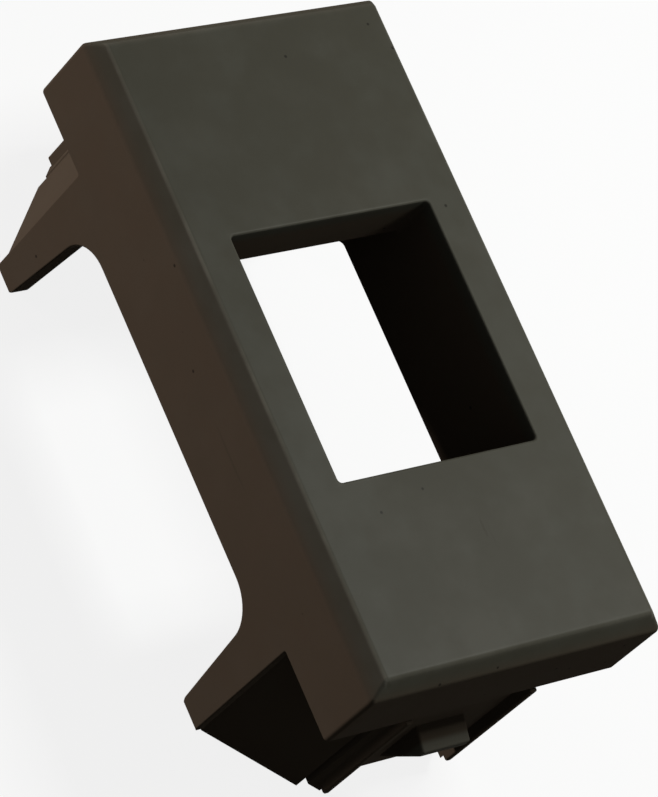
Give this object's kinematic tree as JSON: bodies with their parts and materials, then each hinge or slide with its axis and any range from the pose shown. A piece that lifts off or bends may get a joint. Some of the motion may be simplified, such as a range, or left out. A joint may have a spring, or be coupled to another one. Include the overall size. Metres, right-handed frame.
{
  "type": "keystone wall module adapter",
  "caption": "Half-width keystone adapter: bevelled plate with an off-centre snap-in port, end tongues with catch noses between slant-braced legs, moulded as one piece.",
  "frame": {"origin": "centre of the footprint at the level of the feet, which stand on z = 0", "axes": "+Z out of the front face, +Y along the module towards the end that the jack's latch side faces, +X across the module"},
  "size_m": [0.0226, 0.0472, 0.019],
  "materials": {
    "body": "matte moulded, dark olive grey"
  },
  "bodies": {
    "root": {"adapter_body": "body"}
  },
  "joints": []
}
